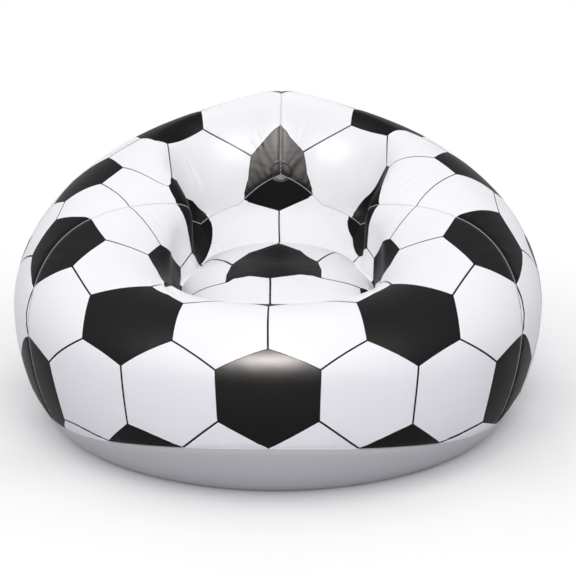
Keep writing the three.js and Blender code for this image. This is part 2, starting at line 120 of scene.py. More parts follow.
RINGS = [
    (around(radii, WIDTH / 2), around(heights, HEIGHT))
    for radii, heights in (
        (CREASE_RADIUS, CREASE_HEIGHT), (INNER_RADIUS, INNER_HEIGHT), (RIM_RADIUS, RIM_HEIGHT),
        (GIRTH_RADIUS, GIRTH_HEIGHT), (GROUND_RADIUS, BASE_SEAM_HEIGHT),
    )
]
girth_height, base_seam_height = RINGS[3][1], RINGS[4][1]


def quarter_arc(start, end, share, upright):
    """Radius and height on a quarter of an ellipse, which starts upright or level."""
    rising, turning = np.sin(share * QUARTER), 1 - np.cos(share * QUARTER)
    across, along = (turning, rising) if upright else (rising, turning)
    return start[0] + (end[0] - start[0]) * across, start[1] + (end[1] - start[1]) * along


def surface(azimuth, station):
    """Points of the chair's smooth form."""
    azimuth, station = np.broadcast_arrays(np.asarray(azimuth, float), np.asarray(station, float))
    share = [np.clip(station - k, 0, 1) for k in range(5)]
    crease, inner, rim, girth, base = ((radius(azimuth), height(azimuth)) for radius, height in RINGS)
    ground = base[0], np.zeros_like(azimuth)
    left = (1 - share[1]) ** 2
    parts = [
        (share[0] * crease[0], SEAT_CROWN + (crease[1] - SEAT_CROWN) * share[0] ** 2),
        (left * crease[0] + (1 - left) * inner[0], crease[1] + (inner[1] - crease[1]) * share[1]),
        quarter_arc(inner, rim, share[2], True),
        quarter_arc(rim, girth, share[3], False),
        quarter_arc(girth, ground, share[4], True),
    ]
    which = np.clip(np.floor(station), 0, 4).astype(int)
    radius = np.choose(which, [p[0] for p in parts])
    height = np.choose(which, [p[1] for p in parts])
    return np.stack([radius * np.sin(azimuth), -radius * np.cos(azimuth) * DEPTH / WIDTH, height], -1)


def unit(vectors):
    return vectors / np.maximum(np.linalg.norm(vectors, axis=-1, keepdims=True), 1e-12)


def normal(azimuth, station):
    """The direction out of the form. In the middle of the seat, where all azimuths meet, it is straight up."""
    aside = surface(azimuth + NORMAL_STEP, station) - surface(azimuth - NORMAL_STEP, station)
    inwards = surface(azimuth, station - NORMAL_STEP) - surface(azimuth, station + NORMAL_STEP)
    found = unit(np.cross(aside, inwards))
    near_pole = np.clip(1 - np.asarray(station) / POLE_STATION, 0, 1)[..., None]
    return unit(found * (1 - near_pole) + np.array([0, 0, 1.0]) * near_pole)


def base_seam_station(azimuth):
    return GIRTH + np.arcsin(1 - base_seam_height(azimuth) / girth_height(azimuth)) / QUARTER


def row_station(azimuth, share):
    """Station of a share of the way from the base seam to the crease."""
    start = base_seam_station(azimuth)
    return start + (CREASE - start) * share


def side_seam_azimuth(share):
    """Azimuth of the side seam, by share of the way from the base seam to the crease."""
    shares = np.array(SIDE_SEAM_TURN) * HALF_TURN
    last = len(shares) - 1
    place = np.clip(np.asarray(share) / SEAM_SHARE, 0, 1) * last
    i = np.minimum(place.astype(int), last - 1)
    return spline(*(shares[np.clip(i + k, 0, last)] for k in (-1, 0, 1, 2)), place - i)


VALLEY = SIDE_SEAM_TURN[-1] * HALF_TURN
JUNCTION_SHARE = float((base_seam_station(HALF_TURN) - JUNCTION) / (base_seam_station(HALF_TURN) - CREASE))
SEAM_BOW = 0.035


def top_seam_share(across):
    """How far up the wall the seam from a valley to the junction runs: across is 0 at the valley."""
    return SEAM_SHARE + (JUNCTION_SHARE - SEAM_SHARE) * across - SEAM_BOW * np.sin(across * HALF_TURN)


EDGE_STEPS = [0, 0.0015, 0.003, 0.005, 0.0075, 0.011, 0.0155]
# Columns and rows of the panels between their edges.
FRONT_GRID, REAR_GRID, INNER_BACK_GRID = (270, 150), (170, 150), (150, 30)
ROUND_COLUMNS = 360
SEAT_ROWS = [0, *np.linspace(0.02, 0.97, 44), 0.98, 0.988, 0.994, 1]
BASE_ROWS = [0, *np.array(EDGE_STEPS[1:]) * 3, *np.linspace(0.06, 1, 22)]


def spaced(count):
    """Shares from 0 to 1 that lie closer together at both ends, where the film dips into its welds."""
    inner = np.linspace(EDGE_STEPS[-1], 1 - EDGE_STEPS[-1], count)
    return np.concatenate([EDGE_STEPS, inner[1:-1], 1 - np.array(EDGE_STEPS[::-1])])


def front_places(across, up):
    """across runs from side seam to side seam, and up from the base seam to the crease."""
    azimuth = side_seam_azimuth(up) * (2 * across - 1)
    return azimuth, row_station(azimuth, up)


def rear_places(across, up, side):
    """across runs from the side seam to the middle of the back, and up from the base seam to the seams inside."""
    azimuth = side_seam_azimuth(up * SEAM_SHARE)
    azimuth = azimuth + (HALF_TURN - azimuth) * across
    share = up * top_seam_share(across)
    return side * azimuth, row_station(azimuth, share)


def inner_back_places(across, down):
    """across runs from valley to valley, and down from the seams to the crease."""
    inwards = 1 - abs(2 * across - 1)
    azimuth = VALLEY + (HALF_TURN - VALLEY) * inwards
    top = top_seam_share(inwards)
    side = np.where(across < 0.5, 1, -1)
    return side * azimuth, row_station(azimuth, top + (1 - top) * down)


def spaced_grid(columns, rows):
    return np.meshgrid(spaced(columns), spaced(rows))


def grid_faces(rows, columns, wraps=False):
    """Quads between the points of a grid. With wraps, the last column joins the first."""
    index = np.arange(rows * columns).reshape(rows, columns)
    if wraps:
        index = np.concatenate([index, index[:, :1]], 1)
    return np.stack([index[:-1, :-1], index[:-1, 1:], index[1:, 1:], index[1:, :-1]], -1).reshape(-1, 4)


class Panel:
    """One film panel: azimuth and station of each grid point, and its faces, which look outwards."""

    def __init__(self, name, azimuth, station, node, wraps=False, flips=False):
        self.name, self.node = name, node
        self.azimuth, self.station = azimuth, station
        faces = grid_faces(*azimuth.shape, wraps)
        self.faces = faces[:, ::-1] if flips else faces
        self.points = surface(azimuth, station).reshape(-1, 3)
        if name == "seat_film":
            self.points[:, 2] += SEAT_PUFF * (station**2 - station**6).ravel()
        self.normals = normal(azimuth, station).reshape(-1, 3)


def make_panels():
    across, up = spaced_grid(*REAR_GRID)
    azimuths = np.linspace(0, TURN, ROUND_COLUMNS + 1)[:-1]
    base_azimuth, base_up = np.meshgrid(azimuths, 1 - np.array(BASE_ROWS))
    base_station = GROUND + (base_seam_station(base_azimuth) - GROUND) * base_up
    inner_back = inner_back_places(*spaced_grid(*INNER_BACK_GRID))
    return [
        Panel("front_film", *front_places(*spaced_grid(*FRONT_GRID)), "front_skin"),
        Panel("rear_film_right", *rear_places(across, up, 1), "back_skin_right"),
        Panel("rear_film_left", *rear_places(1 - across, up, -1), "back_skin_left"),
        Panel("inner_back_film", *inner_back, "inner_back_skin", flips=True),
        Panel("seat_film", *np.meshgrid(azimuths, SEAT_ROWS), "seat_skin", wraps=True, flips=True),
        Panel("base_film", base_azimuth, base_station, "base_skin", wraps=True, flips=True),
    ]


panels = make_panels()
by_name = {panel.name: panel for panel in panels}

# Seams, as lines of azimuth and station.
SEAM_STEP = 0.004
SEAM_SAMPLES, RING_SAMPLES = 400, 1200
JUNCTION_PLACE = (HALF_TURN, JUNCTION)


class Line:
    """A line on the form, resampled to even steps, with the length along it."""

    def __init__(self, azimuth, station, closed=False):
        azimuth, station = np.broadcast_arrays(azimuth, station)
        points = surface(azimuth, station)
        length = np.append(0, np.cumsum(np.linalg.norm(np.diff(points, axis=0), axis=1)))
        count = max(int(length[-1] / SEAM_STEP), 3)
        self.length = np.linspace(0, length[-1], count)
        self.azimuth = np.interp(self.length, length, azimuth)
        self.station = np.interp(self.length, length, station)
        self.points = surface(self.azimuth, self.station)
        self.total, self.closed = length[-1], closed
        self.tree = KDTree(count)
        for i, point in enumerate(self.points):
            self.tree.insert(point, i)
        self.tree.balance()

    def nearest(self, points):
        """Distance to the line, and length along it, for each point."""
        found = np.array([self.tree.find(point)[1] for point in points])
        best, along = np.full(len(points), np.inf), np.zeros(len(points))
        last = len(self.points) - 1
        for first in (found - 1, found):
            i = np.clip(first, 0, last - 1)
            start, step = self.points[i], self.points[i + 1] - self.points[i]
            share = np.clip(((points - start) * step).sum(1) / (step**2).sum(1), 0, 1)
            distance = np.linalg.norm(start + step * share[:, None] - points, axis=1)
            closer = distance < best
            best = np.where(closer, distance, best)
            along = np.where(closer, self.length[i] + share * SEAM_STEP, along)
        return best, along


def seam_lines():
    up = np.linspace(0, 1, SEAM_SAMPLES)
    whole = np.linspace(0, TURN, RING_SAMPLES)
    middle, valley = np.full_like(up, HALF_TURN), np.full_like(up, VALLEY)
    lines = {
        "base_weld": Line(whole, base_seam_station(whole), True),
        "crease_weld": Line(whole, np.full_like(whole, CREASE), True),
        "back_weld": Line(middle, row_station(middle, up * JUNCTION_SHARE)),
    }
    for side, word in ((1, "right"), (-1, "left")):
        azimuth = side_seam_azimuth(up * SEAM_SHARE)
        lines[f"side_weld_{word}"] = Line(side * azimuth, row_station(azimuth, up * SEAM_SHARE))
        azimuth = VALLEY + (HALF_TURN - VALLEY) * up
        lines[f"top_weld_{word}"] = Line(side * azimuth, row_station(azimuth, top_seam_share(up)))
        lines[f"valley_weld_{word}"] = Line(side * valley, row_station(valley, SEAM_SHARE + (1 - SEAM_SHARE) * up))
    return lines


lines = seam_lines()

# Rays through named points of the photograph find the same points on the form.
PULL_STEPS, PULL_STEP = 80, 0.01


def ray(u, v):
    turn = camera.rotation_quaternion
    direction = turn @ Vector(((u - PICTURE / 2) / FOCAL_PIXELS, (PICTURE / 2 - v) / FOCAL_PIXELS, -1))
    return camera.location, direction.normalized()


class Caster:
    """Finds azimuth and station on some panels from points of the photograph. A point beside them is pulled inwards."""

    def __init__(self, names, towards):
        self.towards = towards
        chosen = [by_name[name] for name in names]
        starts = np.cumsum([0] + [len(panel.points) for panel in chosen])
        self.points = np.concatenate([panel.points for panel in chosen])
        self.azimuth = np.concatenate([panel.azimuth.ravel() for panel in chosen])
        self.station = np.concatenate([panel.station.ravel() for panel in chosen])
        self.faces = np.concatenate([panel.faces + start for panel, start in zip(chosen, starts)])
        self.tree = BVHTree.FromPolygons(self.points.tolist(), self.faces.tolist())

    def at(self, u, v):
        for step in range(PULL_STEPS):
            pull = step * PULL_STEP
            pulled = ray(u + (self.towards[0] - u) * pull, v + (self.towards[1] - v) * pull)
            hit, _, face, _ = self.tree.ray_cast(*pulled)
            if hit is not None:
                break
        if hit is None:
            raise ValueError(f"no surface near pixel {u}, {v}")
        corners = self.faces[face]
        weight = 1 / (np.linalg.norm(self.points[corners] - np.array(hit), axis=1) + 1e-6) ** 2
        weight /= weight.sum()
        turned = self.azimuth[corners]
        turned = turned[0] + (turned - turned[0] + HALF_TURN) % TURN - HALF_TURN
        return float(turned @ weight), float(self.station[corners] @ weight)


wall = Caster(["front_film", "rear_film_right", "rear_film_left", "inner_back_film"], (277, 330))
seat = Caster(["seat_film"], (277, 275))
inner_back = Caster(["inner_back_film"], (279, 225))

# The print: corners of its hexagons in lattice units, and where the photograph shows them. A second pair of pixels
# belongs to the corner's mirror image.
PITCH = 0.1877
FRONT_PRINT = [
    (0, 0.577, 267.7, 349.3), (0, -0.577, 268.2, 448), (0.5, 0.289, 320.7, 370.4, 215.6, 370.4),
    (0.5, -0.289, 318.9, 421.1, 217.5, 421.1), (-1, 0.577, 171.6, 340.3, 367.4, 340.3),
    (-1, 1.155, 182.6, 303.5, 357.1, 302.5), (-1.5, 1.443, 152, 286.5, 391.5, 284.5),
    (-2, 1.155, 91, 295.6, 452.8, 295.6), (-2, 0.577, 82.7, 338.5, 460, 339.2),
    (-1.5, 0.289, 120.5, 365, 418.8, 365.7), (-1.5, -0.289, 127.8, 424.8, 412.2, 424.8),
    (-1, -0.577, 178.2, 453.1, 362.6, 453.1), (-2, -0.577, 104, 445, 442.7, 445.7),
    (-2.5, -0.289, 64.3, 420, 483.1, 421.9), (-2.5, 0.289, 48.9, 362.4, 496.7, 362),
    (-3, 0.577, 28.3, 337.3, 525.3, 334.8), (-3, -0.577, 57.4, 429.5, 497.3, 423.5),
    (-3, 1.155, 36.3, 285, 515.7, 283.4), (-2.5, 1.443, 72.3, 266.2, 474.9, 264.3),
    (-2.5, 2.02, 105.1, 239.7, 443.1, 236.4), (-3, 2.309, 89.2, 217.1, 458, 215.3),
    (-2, 2.309, 148.7, 255, 398.9, 250), (-2, 2.887, 160.6, 244.9, 390, 238.9),
    (-2.5, 3.175, 129.5, 207.5, 416.2, 205.5), (-1.5, 3.175, 180.5, 268, 373.9, 258.3),
    (-1.5, 2.02, 166.3, 285, 380.6, 279.3), (0, 1.155, 268.3, 306.2), (-1.5, 3.753, 192, 252.5, 367, 248),
    (-2, 4.041, 178, 208, 379, 200.7), (-1, 4.619, 209.5, 219.5, 352.6, 215.3), (-1, 4.041, 200.5, 263.5, 360, 256),
    (-1.1, 2.945, 181.3, 284, 373.2, 276), (1.25, 2.165, 376, 283), (-1, 4.33, 208.5, 243, 354.5, 238),
    (-1.25, 1.299, 167.5, 295, 374.5, 293.5), (-1.75, 2.165, 157.5, 270.5, 389.5, 265.5),
    (-1.75, 3.031, 171.5, 255.5, 380.5, 247),
]
REAR_PRINT = [
    (0, 0, 279.2, 174.3), (0, 0.577, 277.8, 124.9), (-0.5, 0.289, 251.8, 156.5, 303, 152.3),
    (-0.5, -0.289, 244.5, 199.8, 311.5, 196.5), (0, 1.155, 277, 93.6), (-1, 0.577, 202.8, 128.7, 351.6, 125),
    (-1, 1.155, 200.2, 111.4, 357, 104.8), (-1.5, 0.289, 167.5, 143.2, 387.6, 135.3),
    (-1.5, -0.289, 171.5, 184, 386.8, 166), (-2.5, -0.289, 122.9, 167.5, 434.7, 157.9),
    (-2.5, 0.289, 108, 157.9, 452.3, 149), (-3, -0.577, 101.5, 183.6, 456.5, 174),
    (-3.5, -0.289, 65, 201.5, 493.9, 192.2), (-4, -0.577, 56, 220, 499.7, 213.6),
    (-4, -1.155, 89.2, 217.1, 458, 215.3), (-4.5, -0.289, 32.4, 256.3, 521.7, 250),
    (-5, -0.577, 36.3, 285, 515.7, 283.4), (-3, -1.155, 129.5, 207.5, 416.2, 205.5),
    (-1, -0.577, 209.5, 219.5, 352.6, 215.3), (-5.5, -0.289, 28.7, 338, 525, 335),
    (-2, -0.577, 169.5, 186.5, 388.5, 168), (-2, -1.155, 178, 208, 379, 200.7), (-1.25, -0.433, 192, 201, 366, 198),
    (-1.125, -0.505, 200.8, 210.5, 359, 207), (-0.25, 0.433, 264.8, 140.7, 290.4, 138.6),
    (-0.5, 0, 249.3, 178, 306.3, 174), (-1.75, 0.433, 155, 140.3, 406, 130.6), (-2, 0.577, 141, 138.4, 425.5, 131),
]
INNER_BACK_PRINT = [
    (0, 4.619, 279.2, 210.5), (0, 5.196, 279.2, 174.3), (-0.5, 4.907, 244.5, 199.8, 311.5, 196.5),
    (-1, 4.619, 209.5, 219.5, 352.6, 215.3), (0, 4.041, 279.5, 243), (-1, 4.33, 208.5, 243, 354.5, 238),
]
SEAT_PRINT = [
    (0, 4.041, 278.7, 243.7), (0, 2.887, 270, 277.8), (-0.5, 3.175, 226.3, 282.5, 320.7, 278),
    (-0.5, 3.753, 232.5, 265, 317.5, 262.3), (-0.25, 3.897, 250, 253, 300, 251),
    (-0.25, 3.031, 250, 275.5, 300, 274.2), (-0.425, 3.132, 233, 278, 313, 275.4),
    (-0.5, 3.464, 227.5, 274.5, 321, 270), (-1, 4.041, 201, 265), (-0.75, 3.897, 213, 259.5),
    (-0.6, 3.811, 226, 261.5), (-1, 2.887, 188.8, 297, 360.5, 288), (-0.75, 3.031, 207.5, 287.5),
    (0.65, 3.84, 325, 256.5), (0.85, 3.955, 335, 252.5), (0.7, 3.06, 337.5, 281.3), (0, 2.309, 270, 303.8),
]
# The print at the right outline of the photograph. The left has the same.
FAR_PRINT = [(4.5, 0.289, 537, 268), (5.25, 0.144, 535, 335), (5.5, 0.289, 536.5, 360)]
ANCHOR_WEIGHT = 1e-5
SNAP = 0.014
WALL_STATIONS = np.linspace(GROUND, 0.6, 120)

# The print where the photograph doesn't show it: on the outside of the back, where the lattice fans out from the
# middle seam, and down the near inside of the well.
RIM_ROW = 1.155
FAN, FAN_CORNER = math.radians(60), (6.5, 0.289)
FAN_COLUMNS, FAN_STATIONS = 9, (4.6, 4.1, 3.7)
MIDDLE_SHARE, SIDE_SHARE = 0.1, 0.8
WELL_TURN = math.radians(10)
WELL_STATIONS, WELL_COLUMNS = (2.5, 2, 1.5, 1), (-0.5, 0, 0.5)

# Lattice coordinates on the left of each panel, at the top and at the foot of the valley beside the arm.
FRONT_VALLEY_TOP, REAR_VALLEY_TOP = (1.25, 4.4745), (1.25, -0.722)
FRONT_VALLEY_FOOT, SEAT_VALLEY_FOOT = (0.8, 4.15), (0.75, 4.18)


def up_the_wall(azimuth, station):
    """Cells of the print between the ground and a place, measured up the wall."""
    samples = surface(azimuth, WALL_STATIONS)
    lengths = np.append(0, np.cumsum(np.linalg.norm(np.diff(samples, axis=0), axis=1)))
    return float(np.interp(-station, -WALL_STATIONS, lengths)) / PITCH


class Warp:
    """A smooth map from places on the form to the print's lattice, through known pairs of both."""

    def __init__(self, points, lattice):
        self.points = points
        count, terms = len(points), 1 + points.shape[1]
        system = np.zeros((count + terms, count + terms))
        system[:count, :count] = self.distances(points) + np.eye(count) * ANCHOR_WEIGHT
        system[:count, count:] = np.column_stack([np.ones(count), points])
        system[count:, :count] = system[:count, count:].T
        self.weights = np.linalg.solve(system, np.vstack([lattice, np.zeros((terms, 2))]))

    def distances(self, points):
        return np.linalg.norm(points[:, None] - self.points, axis=2)

    def __call__(self, azimuth, station):
        points = surface(azimuth, station)
        return np.column_stack([self.distances(points), np.ones(len(points)), points]) @ self.weights


def rear_anchors():
    """Places and lattice coordinates on the outside of the back."""
    places, lattice = [], []
    base = RIM_ROW + up_the_wall(HALF_TURN, RIM) - up_the_wall(HALF_TURN, base_seam_station(HALF_TURN))
    start = float(side_seam_azimuth(0))
    for share in np.linspace(0, 1, FAN_COLUMNS):
        azimuth = HALF_TURN + (start - HALF_TURN) * share
        turn = FAN * share
        aside = FAN_CORNER[0] * math.sin(turn) / math.sin(FAN)
        low = base + (FAN_CORNER[1] - base) * (1 - math.cos(turn)) / (1 - math.cos(FAN))
        seam = float(base_seam_station(azimuth))
        for station in (seam, *FAN_STATIONS):
            if share < MIDDLE_SHARE and station == seam or share > SIDE_SHARE and station != seam:
                continue
            rise = up_the_wall(azimuth, station) - up_the_wall(azimuth, seam)
            for side in (-1, 1):
                places.append((side * azimuth, station))
                lattice.append((side * (aside - math.sin(turn) * rise), low - math.cos(turn) * rise))
    return places, lattice


def well_anchors():
    """Places and lattice coordinates down the near inside of the well."""
    places, lattice = [], []
    for station in WELL_STATIONS:
        down = up_the_wall(0, station) - up_the_wall(0, RIM)
        for x in WELL_COLUMNS:
            places.append((x / WELL_COLUMNS[-1] * WELL_TURN, station))
            lattice.append((x, RIM_ROW + down))
    return places, lattice


def on_seam(place):
    """The nearest place on an open seam, for corners of the print that lie on one."""
    point = surface(*place)
    found = [(*line.tree.find(point)[1:], line) for line in lines.values() if not line.closed]
    index, distance, line = min(found, key=lambda entry: entry[1])
    return (float(line.azimuth[index]), float(line.station[index])) if distance < SNAP else place


def both_sides(azimuth, station, x, y):
    return [(side * azimuth, station) for side in (-1, 1)], [(side * x, y) for side in (-1, 1)]


def warp_of(table, caster, *anchors):
    """A warp through a table of the print and through anchors, each a list of places and one of corners."""
    places, lattice = [], []
    for x, y, u, v, *mirrored in table:
        places.append(on_seam(caster.at(u, v)))
        lattice.append((x, y))
        if mirrored:
            places.append(on_seam(caster.at(*mirrored)))
            lattice.append((-x, y))
    for anchor_places, anchor_corners in anchors:
        places += anchor_places
        lattice += anchor_corners
    return Warp(surface(*np.array(places).T), np.array(lattice, float))


valley_top = VALLEY, float(row_station(VALLEY, SEAM_SHARE))
front_top, rear_top = both_sides(*valley_top, *FRONT_VALLEY_TOP), both_sides(*valley_top, *REAR_VALLEY_TOP)
front_foot, seat_foot = (both_sides(VALLEY, CREASE, *foot) for foot in (FRONT_VALLEY_FOOT, SEAT_VALLEY_FOOT))
far_corners = [both_sides(*wall.at(u, v), x, y) for x, y, u, v in FAR_PRINT]
front_print = warp_of(FRONT_PRINT, wall, well_anchors(), front_top, front_foot)
rear_print = warp_of(REAR_PRINT, wall, rear_anchors(), rear_top, *far_corners)
PRINTS = {
    "front_film": front_print,
    "rear_film_right": rear_print,
    "rear_film_left": rear_print,
    "inner_back_film": warp_of(INNER_BACK_PRINT, inner_back, front_top),
    "seat_film": warp_of(SEAT_PRINT, seat, seat_foot),
}

# How each kind of weld pulls the film in: depth and width of the pinch, height and reach of the puckers beside it.
WELD_FORMS = {
    "base": (0.002, 0.007, 0.0005, 0.03),
    "crease": (0.004, 0.009, 0.0004, 0.03),
    "back": (0.0012, 0.006, 0.0002, 0.03),
    "side": (0.0022, 0.007, 0.0007, 0.03),
    "top": (0.0018, 0.007, 0.0007, 0.025),
    "valley": (0.002, 0.007, 0.0008, 0.03),
}
PUCKER_LENGTHS = (0.014, 0.07)
PUCKER_WAVES = 14
PUCKER_START = 0.006
END_FADE = 0.03
random = np.random.default_rng(7)


def ripple_of(line):
    """An uneven ripple along a weld, from -1 to 1 or so, as a function of the length along it."""
    ripples = []
    for _ in range(PUCKER_WAVES):
        count = line.total / math.exp(random.uniform(*np.log(PUCKER_LENGTHS)))
        ripples.append((max(round(count), 1) if line.closed else count, random.random(), random.uniform(0.4, 1)))
    return lambda along: sum(
        height * np.sin(TURN * (count * along / line.total + phase)) for count, phase, height in ripples
    ) / math.sqrt(PUCKER_WAVES / 2)


ripples = {name: ripple_of(line) for name, line in lines.items()}


def ramp(value, start, end):
    share = np.clip((value - start) / (end - start), 0, 1)
    return share**2 * (3 - 2 * share)


def weld_relief(points):
    pinch, total = np.zeros(len(points)), np.zeros(len(points))
    for name, line in lines.items():
        depth, width, height, reach = WELD_FORMS[name.split("_")[0]]
        distance, along = line.nearest(points)
        pinch = np.maximum(pinch, depth * np.exp(-((distance / width) ** 2)))
        fade = 1 if line.closed else ramp(along, 0, END_FADE) * ramp(line.total - along, 0, END_FADE)
        beside = (1 - np.exp(-((distance / PUCKER_START) ** 2))) * np.exp(-distance / reach)
        total += height * fade * beside * ripples[name](along)
    return total - pinch


JUNCTION_POINT = surface(*JUNCTION_PLACE)
JUNCTION_NORMAL = normal(*JUNCTION_PLACE)
JUNCTION_SIDE = unit(np.cross(np.array([0, 0, 1.0]), JUNCTION_NORMAL))
JUNCTION_UP = np.cross(JUNCTION_NORMAL, JUNCTION_SIDE)
JUNCTION_PUCKERS = [(count, random.uniform(0, TURN)) for count in (7, 11, 13, 17, 23)]
JUNCTION_RIPPLE, JUNCTION_START, JUNCTION_REACH = 0.000125, (0.02, 0.04), 0.06
JUNCTION_DIMPLE, DIMPLE_RADIUS = 0.001, 0.03


def junction_relief(points):
    """A dimple at the junction of the seams, and small folds that run out from it."""
    offset = points - JUNCTION_POINT
    angle = np.arctan2(offset @ JUNCTION_UP, offset @ JUNCTION_SIDE)
    radius = np.linalg.norm(offset, axis=1)
    ripple = sum(np.sin(count * angle + phase) for count, phase in JUNCTION_PUCKERS)
    puckers = JUNCTION_RIPPLE * ripple * ramp(radius, *JUNCTION_START) * np.exp(-radius / JUNCTION_REACH)
    return puckers - JUNCTION_DIMPLE * np.exp(-((radius / DIMPLE_RADIUS) ** 2))


# Folds that the photograph shows: pixels along each, then its depth and half width in metres.
FOLDS = [
    (((185, 154), (192, 166), (198, 178), (202, 193)), 0.006, 0.006),
    (((190, 160), (198, 172), (204, 186)), 0.0012, 0.004),
    (((373, 160), (367, 176), (361, 192)), 0.0016, 0.006),
    (((398, 149), (408, 142), (417, 137)), 0.0012, 0.004),
    (((390, 193), (404, 182), (417, 171)), 0.0044, 0.0042),
    (((387, 184), (399, 176), (409, 169)), 0.003, 0.0035),
    (((393, 200), (407, 188), (419, 178)), 0.003, 0.0035),
    (((386, 226), (394, 214), (404, 202)), 0.0042, 0.004),
    (((390, 233), (397, 221), (404, 212)), 0.0026, 0.0035),
    (((150, 212), (160, 224), (167, 238)), 0.0014, 0.004),
    (((255, 130), (259, 139), (263, 149)), 0.0007, 0.0035),
    (((246, 138), (252, 145), (258, 152)), 0.0007, 0.0035),
    (((302, 119), (299, 130), (296, 142)), 0.0007, 0.0035),
    (((315, 116), (309, 127), (304, 139)), 0.0007, 0.0035),
    (((232, 203), (231, 214), (231, 222)), 0.0008, 0.003),
    (((240, 201), (240, 211), (241, 219)), 0.0008, 0.003),
    (((318, 200), (319, 210), (320, 218)), 0.0005, 0.003),
    (((328, 204), (330, 213), (332, 221)), 0.0005, 0.003),
    (((152, 285), (164, 283), (175, 291), (182, 299)), 0.004, 0.007),
]
FOLD_FADE, FOLD_LIPS = 0.35, 0.3
FOLD_SAMPLES = 60


class Fold:
    """A valley in the film with a lip on each side."""

    def __init__(self, pixels, depth, width):
        places = np.array([wall.at(u, v) for u, v in pixels])
        steps = np.linspace(0, len(places) - 1, FOLD_SAMPLES)
        azimuth, station = (np.interp(steps, range(len(places)), places[:, k]) for k in (0, 1))
        self.line, self.depth, self.width = Line(azimuth, station), depth, width

    def relief(self, points):
        distance, along = self.line.nearest(points)
        fade = self.line.total * FOLD_FADE
        ends = ramp(along, 0, fade) * ramp(self.line.total - along, 0, fade)
        valley = np.exp(-((distance / self.width) ** 2))
        lips = np.exp(-(((distance - 2 * self.width) / self.width) ** 2)) * FOLD_LIPS
        return self.depth * ends * (lips - valley)


folds = [Fold(*fold) for fold in FOLDS]

# The film lies flat round the valve.
VALVE_OUTWARDS = np.array([0.3425454, 0.8647920, -0.3671478])
VALVE_POINT = np.array([0.24969986, 0.49410585, 0.13465167])
VALVE_FLAT, VALVE_BLEND, VALVE_HOLE = 0.027, 0.06, 0.0115


def from_valve(points):
    """Depth along the valve's axis, and distance from it."""
    offset = points - VALVE_POINT
    depth = offset @ VALVE_OUTWARDS
    return depth, np.linalg.norm(offset - depth[:, None] * VALVE_OUTWARDS, axis=1)


def flatten_at_valve(points):
    depth, radius = from_valve(points)
    share = (1 - ramp(radius, VALVE_FLAT, VALVE_BLEND)) * (abs(depth) < VALVE_BLEND)
    return points - (share * depth)[:, None] * VALVE_OUTWARDS


def dressed(points, normals):
    """The film's real place: the smooth form with its welds, puckers and folds."""
    relief = weld_relief(points) + junction_relief(points)
    for fold in folds:
        relief = relief + fold.relief(points)
    moved = points + normals * relief[:, None]
    moved[:, 2] = np.maximum(moved[:, 2], 0)
    return flatten_at_valve(moved)


# Materials.
WHITE = (0.86, 0.86, 0.885, 1)
BLACK = (0.006, 0.0065, 0.0065, 1)
INK = (0.014, 0.0145, 0.016, 1)
# The base film's grey is darker than the film's own pale grey: partly its colour, partly painted shade on the base.
BASE_GREY_AND_SHADE, TIE_WHITE = (0.5, 0.505, 0.52, 1), (0.75, 0.76, 0.78, 1)
VALVE_WHITE, PLUG_BLUE = (0.78, 0.81, 0.83, 1), (0.5, 0.57, 0.62, 1)
# Weld colours: darker than the white print, and on the black print a pale grey that is partly a painted highlight on
# the weld's ridge.
WELD_ON_WHITE, WELD_GREY_AND_SHEEN_ON_BLACK = (0.62, 0.62, 0.65, 1), (0.3, 0.3, 0.31, 1)
FILM_IOR, WHITE_SHINE, BLACK_SHINE, PLAIN_SHINE = 1.25, 0.04, 0.12, 0.3
WHITE_ROUGHNESS, BLACK_ROUGHNESS, WELD_ROUGHNESS = 0.32, 0.42, 0.35
BASE_ROUGHNESS, TIE_ROUGHNESS, VALVE_ROUGHNESS, PLUG_ROUGHNESS = 0.4, 0.5, 0.3, 0.22
LINE_HALF_WIDTH = 0.0106
PLAIN_STRIP = 0.009
ROW = math.sqrt(3) / 2
FILM_LAYERS = ((14, 0.0012), (420, 0.00003))


def new_material(name):
    material = bpy.data.materials.new(name)
    material.use_nodes = True
    material.node_tree.nodes.clear()
    return material, material.node_tree


def fill_socket(tree, socket, value):
    """Links the output of another node to a socket, or sets a plain value on it."""
    if isinstance(value, bpy.types.NodeSocket):
        tree.links.new(value, socket)
    else:
        socket.default_value = value


def add_node(tree, kind, **inputs):
    """A node with its settings. A name with in_ before it is that of a socket, or its number."""
    node = tree.nodes.new("ShaderNode" + kind)
    for key, value in inputs.items():
        if not key.startswith("in_"):
            setattr(node, key, value)
            continue
        name = key[3:]
        fill_socket(tree, node.inputs[int(name) if name.isdigit() else name.replace("_", " ")], value)
    return node


def math_node(tree, operation, *values, kind="Math", output=0):
    node = add_node(tree, kind, operation=operation)
    for socket, value in zip(node.inputs, values):
        fill_socket(tree, socket, value)
    return node.outputs[output]


def vector_node(tree, operation, *values, output="Vector"):
    return math_node(tree, operation, *values, kind="VectorMath", output=output)


def noise(tree, scale):
    place = add_node(tree, "TexCoord").outputs["Object"]
    return add_node(tree, "TexNoise", in_Vector=place, in_Scale=scale).outputs[0]


def bumped(tree, layers):
    """A normal from layers of noise, each with its scale and the height of its waves in metres."""
    below = None
    for scale, height in layers:
        bump = add_node(tree, "Bump", in_Height=noise(tree, scale), in_Distance=height, in_Strength=1.0)
        if below is not None:
            tree.links.new(below, bump.inputs["Normal"])
        below = bump.outputs[0]
    return below


def finish_material(tree, colour, roughness, **sockets):
    relief = bumped(tree, FILM_LAYERS)
    shader = add_node(
        tree, "BsdfPrincipled", in_Base_Color=colour, in_Roughness=roughness, in_Normal=relief, **sockets
    )
    add_node(tree, "OutputMaterial", in_0=shader.outputs[0])


def mixed_colour(tree, share, first, second):
    return add_node(tree, "Mix", data_type="RGBA", in_0=share, in_6=first, in_7=second).outputs[2]


